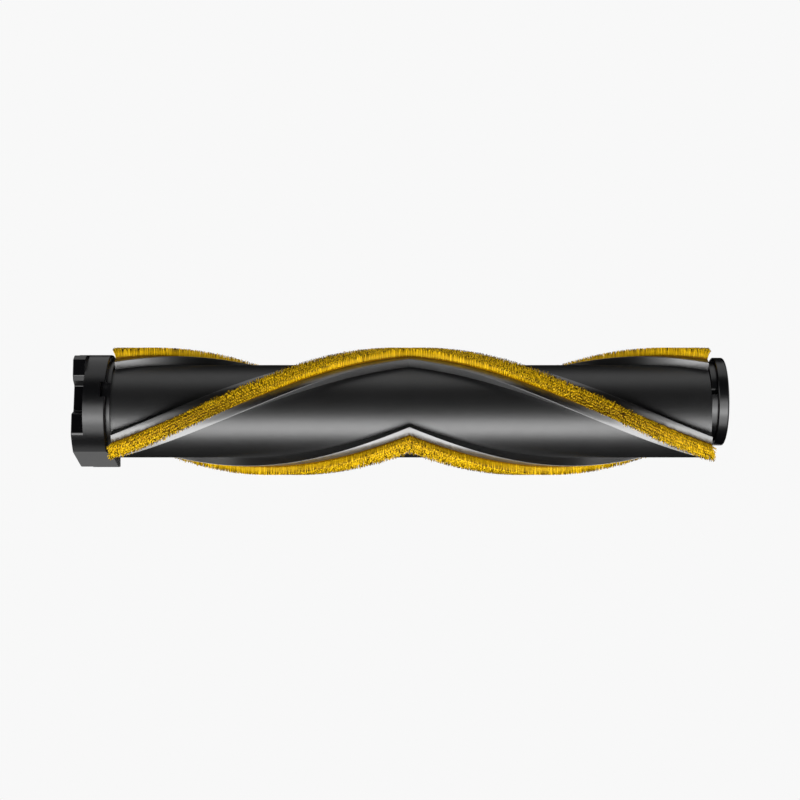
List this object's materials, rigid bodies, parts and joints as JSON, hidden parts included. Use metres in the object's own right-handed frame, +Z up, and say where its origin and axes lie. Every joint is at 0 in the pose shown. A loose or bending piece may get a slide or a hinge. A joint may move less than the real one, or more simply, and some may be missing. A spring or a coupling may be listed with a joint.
{
  "type": "vacuum roller brush",
  "caption": "Chevron roller brush for a vacuum cleaner head: slotted helical rails with yellow bristle strips, a ball-bearing end cap and an offset drive-end carrier.",
  "frame": {"origin": "where the roller axis meets the outer face of the bearing cap", "axes": "+X along the roller axis from the cap to the drive end, +Z up, -Y the front that the picture shows"},
  "size_m": [0.2166, 0.043, 0.043],
  "materials": {
    "core_plastic": "black moulded plastic, satin gloss",
    "cap_plastic": "black moulded plastic, satin gloss",
    "plug_plastic": "black glass-filled plastic, matt",
    "bristles": "dense yellow nylon pile",
    "bearing_steel": "ground bearing steel",
    "pin_steel": "turned steel",
    "cage_plastic": "natural nylon",
    "bush_bronze": "sintered bronze",
    "felt": "grey wool felt"
  },
  "bodies": {
    "cap": {"bearing_cap": "cap_plastic", "bearing_outer_race": "bearing_steel", "bearing_shield_outer": "bearing_steel", "bearing_shield_inner": "bearing_steel", "felt_seal": "felt"},
    "ball_set": {"bearing_balls": "bearing_steel", "bearing_cage": "cage_plastic"},
    "roller": {"roller_core": "core_plastic", "bristle_strip_left_1": "bristles", "bristle_strip_left_2": "bristles", "bristle_strip_left_3": "bristles", "bristle_strip_right_1": "bristles", "bristle_strip_right_2": "bristles", "bristle_strip_right_3": "bristles", "axle_plug": "plug_plastic", "axle_pin": "pin_steel", "axle_clip": "pin_steel", "bearing_inner_race": "bearing_steel", "drive_plug": "plug_plastic", "drive_washer": "cage_plastic", "drive_ring": "pin_steel"},
    "carrier": {"drive_end_carrier": "cap_plastic", "drive_bush": "bush_bronze"}
  },
  "joints": [
    {"name": "roller_spin", "type": "hinge", "parent": "cap", "child": "roller", "pos_m": [0.0056, 0, 0], "axis": [1, 0, 0], "continuous": true},
    {"name": "ball_orbit", "type": "hinge", "parent": "cap", "child": "ball_set", "pos_m": [0.0056, 0, 0], "axis": [1, 0, 0], "continuous": true},
    {"name": "carrier_swivel", "type": "hinge", "parent": "roller", "child": "carrier", "pos_m": [0.20985, 0, 0], "axis": [1, 0, 0], "continuous": true}
  ],
  "couplings": [
    {"joint": "ball_orbit", "follows": "roller_spin", "ratio": 0.357}
  ]
}
